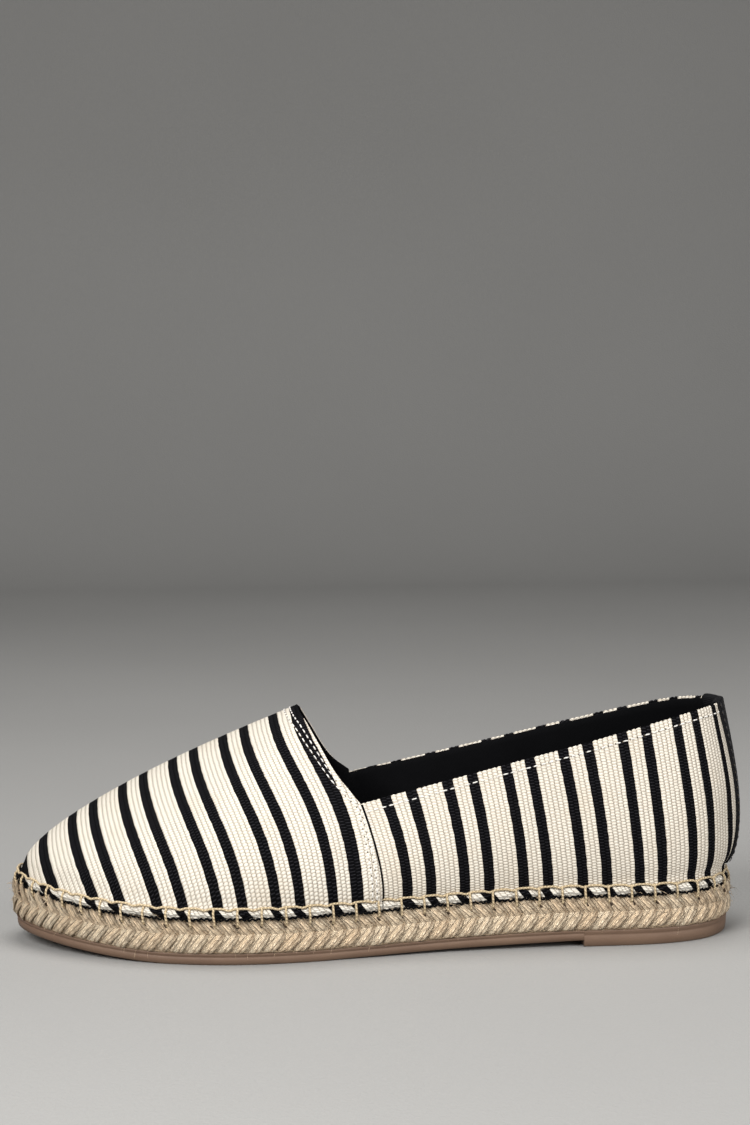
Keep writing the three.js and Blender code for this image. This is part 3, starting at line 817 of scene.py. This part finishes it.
def jute_thread():
    """Two-ply waxed jute thread: pale, with a slanting twist and painted shade between its plies."""
    finish, tree = new_finish("jute thread")
    lay, axes = cloth_map(tree)
    turn = calc(tree, "ADD", calc(tree, "MULTIPLY", axes[0], 5.2), calc(tree, "MULTIPLY", axes[1], 2.2))
    ply = lifted(tree, calc(tree, "SINE", turn))
    fuzz = noise(tree, lay, 3.5, 3)
    pale = mix(tree, fuzz, (0.50, 0.36, 0.19, 1), (0.86, 0.72, 0.48, 1))
    # painted shade: darker in the groove between the two plies
    between = calc(tree, "MULTIPLY", calc(tree, "SUBTRACT", 1.0, ply), 0.6)
    colour = mix(tree, between, pale, (0.22, 0.14, 0.07, 1))
    shade(tree, colour, 0.75, calc(tree, "ADD", ply, calc(tree, "MULTIPLY", fuzz, 0.4)), 0.0003)
    return finish


def make_hem():
    angles, at, total = even_turns(1100)
    legs = round(total / STITCH_PITCH)
    phase = at / total * legs
    puff = np.abs(np.sin(math.pi * phase)) ** 0.55
    around = turns(18)[None, :]
    size = (0.56 + 0.46 * puff)[:, None]
    crumple = 1 + 0.06 * np.sin(3 * around + 9 * np.sin(phase * 2.4)[:, None])
    outwards = square_out(angles)
    sideways = np.cos(around) * size * ROLL_WIDE * crumple
    sections = foot_line(angles, ROLL_UP, -ROLL_IN)[:, None] + outwards[:, None] * sideways[..., None]
    sections[..., 2] += np.sin(around) * size * ROLL_TALL * crumple
    slant = -1.2 * np.sin(around) + 0.9 * np.sin(phase * 1.7)[:, None]
    lay = np.stack([cloth_across(angles)[:, None] + slant, 1.6 * around + 0 * slant], -1)
    roll = add_piece("hem_roll", sections, sweep(sections, True), {"cloth": lay})
    # the hem's copy is painted lighter than the vamp's: painted light on the roll
    finish_piece(roll, striped_canvas("striped canvas of the hem", -0.3), "striped_canvas")

    edge = foot_line(angles, -0.05, 0.7)
    edge[:, 2] += 0.35 * np.sin(2 * math.pi * at / 1.9) + 0.15 * np.sin(phase * 5.1)
    sections, lay = tube(edge, outwards, 0.4, closed=True, sides=6)
    piece = add_piece("lining_edge", sections, sweep(sections, True), {"cloth": lay})
    finish_piece(piece, black_cotton("black cut edge"), "lining_cloth")


def make_blanket_stitch():
    thread = jute_thread()
    angles, at, total = even_turns(1500)
    legs = round(total / STITCH_PITCH)
    outwards = square_out(angles)
    # each leg pulls the running thread down and out a little
    pulled = np.abs(np.cos(math.pi * at / total * legs)) ** 6
    line = foot_line(angles, THREAD_UP, THREAD_RADIUS) + outwards * (0.25 * pulled)[:, None]
    line[:, 2] += 0.22 - 0.55 * pulled + 0.12 * np.sin(at / 11.3)
    sections, lay = tube(line, outwards, THREAD_RADIUS, closed=True, sides=7)
    run = add_piece("blanket_thread", sections, sweep(sections, True), {"cloth": lay})
    finish_piece(run, thread, "jute_braid")

    # one leg, from the running thread over the roll and into the jute: how far down, how far out
    path = np.array([(-0.1, 0.25), (0.4, 0.75), (1.1, 1.25), (2.1, 1.5), (3.2, 1.4), (4.2, 1.15), (5.2, 1.0),
                     (6.0, 0.2), (6.3, -1.2)])
    centres = np.column_stack([0.12 * np.sin(path[:, 0]), path])
    ahead = np.tile([1.0, 0, 0], (len(path), 1))
    sections, lay = tube(centres, ahead, THREAD_RADIUS, closed=False, sides=6)
    leg = add_piece("leg", sections, sweep(sections, False), {"cloth": lay}, shift=False)
    hung = foot_line(angles, THREAD_UP, 0.0)
    spacing = length_round(hung) / (legs + 0.5)
    row = lay_row("blanket_legs", [hung], [outwards], leg, spacing, thread, 0.05, 5, closed=True)
    finish_piece(row, thread, "jute_braid")

    # the shaded holes that the legs go into
    shaded, tree = new_finish("shade between strands")
    spot = spot_on(tree)
    colour = mix(tree, noise(tree, spot, 900), (0.02, 0.012, 0.006, 1), (0.07, 0.04, 0.02, 1))
    shade(tree, colour, 0.95, noise(tree, spot, 1500), 0.0002)
    entry = foot_line(angles, THREAD_UP - path[-1, 0], 0.0)
    entry[:, :2] = outline(angles, 0.25)
    spacing = length_round(entry) / (legs + 0.5)
    hole = strand(2.3, 2.6, wide=0.8, thick=0.9)
    row = lay_row("stitch_holes", [entry], [outwards], hole, spacing, shaded, 0.15, 8, closed=True)
    finish_piece(row, shaded, "jute_braid")


make_hem()
make_blanket_stitch()

# ---- Side seam shade strips ------------------------------------------------------------------
# A strip of the lining's black cotton lies on each quarter just behind the vamp's side edge, where the
# vamp laps over it. It is painted shade, a thin dark line down each side seam where the gap lies in shadow.
EDGE_ROUND, EDGE_BACK = 0.38, 0.35   # its radius, and how far behind the vamp's edge it lies
SIDES = ((1, "outer"), (-1, "inner"))


def turn_speed(angle, up):
    """Millimetres round the last for one radian of turn."""
    step = 0.01
    return np.linalg.norm(last(angle + step, up) - last(angle - step, up), axis=-1) / (2 * step)


def make_seam_shade_strips():
    ups = np.linspace(0.06, 1.0, 90)
    for side, side_name in SIDES:
        # the strip is painted shade: black cloth laid where the gap under the vamp's edge is in shadow
        angle = side * (math.pi / 2 - EDGE_BACK / turn_speed(math.pi / 2, ups))
        sections, lay = tube(on_last(angle, ups, 0.1), skin_normal(angle, ups), EDGE_ROUND,
                             closed=False, sides=6)
        piece = add_piece(f"vamp_edge_{side_name}", sections, sweep(sections, False), {"cloth": lay})
        finish_piece(piece, LINING_COTTON, "lining_cloth")


make_seam_shade_strips()

# ---- Topstitching ----------------------------------------------------------------------------
# White machine stitching: one row under the quarters' topline, and two rows that follow the
# throat and turn down beside each side seam. Small dark pills between the stitches are painted shade in the
# needle holes.
STITCH_LONG, STITCH_STEP, HOLE = 1.8, 2.7, 0.62
TOPLINE_MARGIN = 2.6             # from the topline down to its row
THROAT_ROWS = (("near", 1.9, 0.0), ("far", 3.5, 0.8))   # in from the vamp's edge, and the first stitch's lead
TAPE_WIDE = 21.0                 # the topline's rows stop at the heel tape


def sewing_thread(name, dark, pale):
    finish, tree = new_finish(name)
    spot = spot_on(tree)
    twist = put(tree, "ShaderNodeTexWave", {"Vector": spot, "Scale": 900, "Distortion": 2.0}).outputs[1]
    # painted shade: the thread is darker along the grooves of its twist
    shade(tree, mix(tree, twist, dark, pale), 0.6, twist, 0.00008)
    return finish


def needle_hole_shade():
    finish, tree = new_finish("needle hole")
    spot = spot_on(tree)
    grain = noise(tree, spot, 1200)
    # painted shade: the hole's darkness, laid on a small dark pill on the cloth's face
    shade(tree, mix(tree, grain, (0.03, 0.022, 0.015, 1), (0.12, 0.09, 0.06, 1)), 0.95, grain, 0.0001)
    return finish


SEWING = sewing_thread("white sewing thread", (0.62, 0.58, 0.52, 1), (0.93, 0.91, 0.87, 1))
HOLE_SHADE = needle_hole_shade()


def pill(long, wide, tall):
    """A small rounded rod along X, lying on Z 0, for a stitch or a hole."""
    along = np.linspace(-1, 1, 5)[:, None]
    around = turns(6)[None, :]
    swell = np.sqrt(1 - 0.8 * along ** 4)
    points = np.stack([along * long / 2 + 0 * around, np.cos(around) * wide / 2 * swell,
                       np.sin(around) * tall / 2 * swell - 0.12 * along ** 2], -1)
    return add_piece("pill", points, sweep(points, False), shift=False)


def sew(name, angles, ups, out, seed, first=0.0, thread=SEWING):
    """A row of stitches and a row of needle holes along a line on the cloth's face."""
    for kind, shape, finish, lift, lead in (
            ("stitches", (STITCH_LONG, 0.5, 0.42), thread, 0.12, 0.0),
            ("holes", (HOLE, HOLE, 0.3), HOLE_SHADE, 0.0, STITCH_STEP / 2)):
        line, outwards = on_last(angles, ups, out + lift), skin_normal(angles, ups)
        start = np.searchsorted(run_along(line), lead + first)
        piece = lay_row(f"{name}_{kind}", [line[start:]], [outwards[start:]], pill(*shape), STITCH_STEP,
                        finish, 0.08, seed)
        finish_piece(piece, finish, "striped_canvas")


def rib_length(angle):
    """Millimetres up the cloth from the sole to the topline."""
    return run_along(last(angle[:, None], np.linspace(0, 1, 25)[None, :]))[:, -1]


def make_topstitching():
    tape = math.asin(TAPE_WIDE / 2 / turn_speed(0.02, 1.0))
    for side, side_name in SIDES:
        angles = side * np.linspace(tape, math.pi / 2 + 0.01, 600)
        sew(f"topline_{side_name}", angles, 1 - TOPLINE_MARGIN / rib_length(angles), 0.02, 3 + side)
    for row, inwards, lead in THROAT_ROWS:
        ups = np.linspace(0.085, 1, 200)
        edge = math.pi / 2 + inwards / turn_speed(math.pi / 2, ups)
        top = np.linspace(edge[-1], 2 * math.pi - edge[-1], 700)
        top_ups = 1 - inwards / rib_length(top)
        climb = ups < top_ups[0]
        angles = np.concatenate([edge[climb], top, 2 * math.pi - edge[climb][::-1]])
        ups = np.concatenate([ups[climb], top_ups, ups[climb][::-1]])
        sew(f"throat_{row}", angles, ups, VAMP_OUT, seed=11, first=lead)


make_topstitching()

# ---- Heel tape -------------------------------------------------------------------------------
# Black ribbed tape laid over the back seam from above the hem, folded over the topline and ended
# a little way inside. It is sewn down with black thread along both its edges.
TAPE_FOOT, TAPE_INSIDE = 0.10, 0.84   # where it ends outside and inside, as shares of the heel's height
TAPE_MARGIN = 1.1                # from its edges to their stitches


def black_tape():
    finish, tree = new_finish("black ribbed tape")
    lay, axes = cloth_map(tree)
    rib = lifted(tree, calc(tree, "SINE", calc(tree, "MULTIPLY", axes[1], 9.0)))
    lint_and_sheen = noise(tree, lay, 0.8, 4)
    # painted light: the ribs' crests are lighter, in a mottle of lint
    colour = mix(tree, calc(tree, "MULTIPLY", rib, lint_and_sheen), (0.003, 0.003, 0.0035, 1), (0.016, 0.016, 0.018, 1))
    shade(tree, colour, 0.6, rib, 0.00012, **{"Specular IOR Level": 0.1})
    return finish


def make_heel_tape():
    # up: share of the back rib; then how far out and how much above it the tape's two faces lie
    rows = [(up, 1.05, 0.0, 0.03, 0.0) for up in np.linspace(TAPE_FOOT, 0.98, 30)]
    rows += [(1.0, 1.05, 0.3, 0.12, 0.3), (1.0, 0.75, 1.0, 0.05, 0.65), (1.0, 0.0, 1.45, -0.2, 0.85),
             (1.0, -1.0, 1.5, -0.9, 0.9), (1.0, -2.1, 1.2, -1.7, 0.7), (1.0, -2.65, 0.5, -2.05, 0.3)]
    rows += [(up, -2.75, 0.0, -2.05, 0.0) for up in np.linspace(0.98, TAPE_INSIDE, 6)]
    wide = np.linspace(-1, 1, 13)
    sections = []
    for up, out, lift, inner, inner_lift in rows:
        angle = wide * TAPE_WIDE / 2 / turn_speed(0.02, min(up, 0.99))
        soft = 1 - 0.45 * wide ** 8   # thinner at the tape's woven edges
        face = on_last(angle, up, inner + (out - inner) * soft) + np.array([0, 0, lift])
        back = on_last(angle, up, inner) + np.array([0, 0, inner_lift])
        sections.append(np.concatenate([face, back[::-1]]))
    sections = np.array(sections)
    run = run_along(sections[:, len(wide) // 2])
    across = np.concatenate([wide, wide[::-1]]) * TAPE_WIDE / 2
    lay = np.stack(np.broadcast_arrays(across[None, :], run[:, None]), -1)
    piece = add_piece("back_tape", sections, sweep(sections, False), {"cloth": lay})
    finish_piece(piece, black_tape(), "black_tape", "heel_tape")

    ups = np.linspace(TAPE_FOOT + 0.02, 0.99, 300)
    dark_sewing = sewing_thread("black sewing thread", (0.004, 0.004, 0.005, 1), (0.03, 0.03, 0.034, 1))
    for side, side_name in SIDES:
        angles = side * (TAPE_WIDE / 2 - TAPE_MARGIN) / turn_speed(0.02, ups)
        sew(f"tape_{side_name}", angles, ups, 1.0, 21 + side, thread=dark_sewing)


make_heel_tape()

# ---- Floor, light and camera -----------------------------------------------------------------
# A plain pale sweep under large soft lights, seen a little from above with the toe end nearer.
def make_studio():
    finish, tree = new_finish("pale floor")
    spot = spot_on(tree)
    cloud = noise(tree, spot, 3, 3)
    colour = mix(tree, cloud, (0.29, 0.283, 0.27, 1), (0.33, 0.322, 0.308, 1))
    shade(tree, colour, 0.85, noise(tree, spot, 700, 2), 0.0002)
    # flat to the back, then a round rise of this radius into an upright wall, all in metres
    back, bend = -1.3, 0.4
    profile = [(1.6, 0.0), (back, 0.0)]
    for a in np.linspace(0.1, math.pi / 2, 12):
        profile.append((back - bend * math.sin(a), bend - bend * math.cos(a)))
    profile.append((back - bend, 2.6))
    points = [(x, y, z) for x in (-2.5, 2.5) for y, z in profile]
    count = len(profile)
    mesh = bpy.data.meshes.new("floor")
    mesh.from_pydata(points, [], [(k, k + 1, count + k + 1, count + k) for k in range(count - 1)])
    mesh.polygons.foreach_set("use_smooth", np.ones(len(mesh.polygons), bool))
    mesh.materials.append(finish)
    new_object("floor", mesh)

    # name, place in metres, width, power in watts
    lamps = (("key", (0.52, 0.80, 0.66), 0.6, 14.2), ("fill", (-0.8, 0.8, 0.55), 0.8, 9),
             ("top", (0.0, -0.1, 1.2), 0.7, 9))
    for name, place, width, power in lamps:
        lamp = bpy.data.lights.new(name, "AREA")
        lamp.size, lamp.energy = width, power
        light = new_object(name, lamp)
        light.location = place
        light.rotation_mode = "QUATERNION"
        light.rotation_quaternion = Vector(place).to_track_quat("Z", "Y")
    world = bpy.data.worlds.new("studio")
    world.use_nodes = True
    sky = world.node_tree.nodes["Background"].inputs
    sky["Color"].default_value = (0.95, 0.97, 1.0, 1)
    sky["Strength"].default_value = 0.19
    bpy.context.scene.world = world
    bpy.context.scene.view_settings.view_transform = "Standard"


def make_camera():
    azimuth, elevation, roll = math.radians(175.8), math.radians(10.5), math.radians(-0.5)
    distance, lens, sensor = 0.9485, 85, 36
    aim = Vector((0, 0, 0.04))
    below, beside = 0.230667, 0.003556   # how far off the frame's middle the aim lies, in frame heights
    data = bpy.data.cameras.new("camera")
    data.lens, data.sensor_width = lens, sensor
    camera = new_object("camera", data)
    back = Vector((math.sin(azimuth) * math.cos(elevation), -math.cos(azimuth) * math.cos(elevation),
                   math.sin(elevation)))
    camera.location = aim + back * distance
    camera.rotation_mode = "QUATERNION"
    look = back.to_track_quat("Z", "Y") @ Quaternion((0, 0, 1), roll)
    tilt = math.atan(below * sensor / lens)
    pan = math.atan(beside * sensor / lens)
    camera.rotation_quaternion = look @ Quaternion((1, 0, 0), tilt) @ Quaternion((0, 1, 0), pan)
    bpy.context.scene.camera = camera


make_studio()
make_camera()
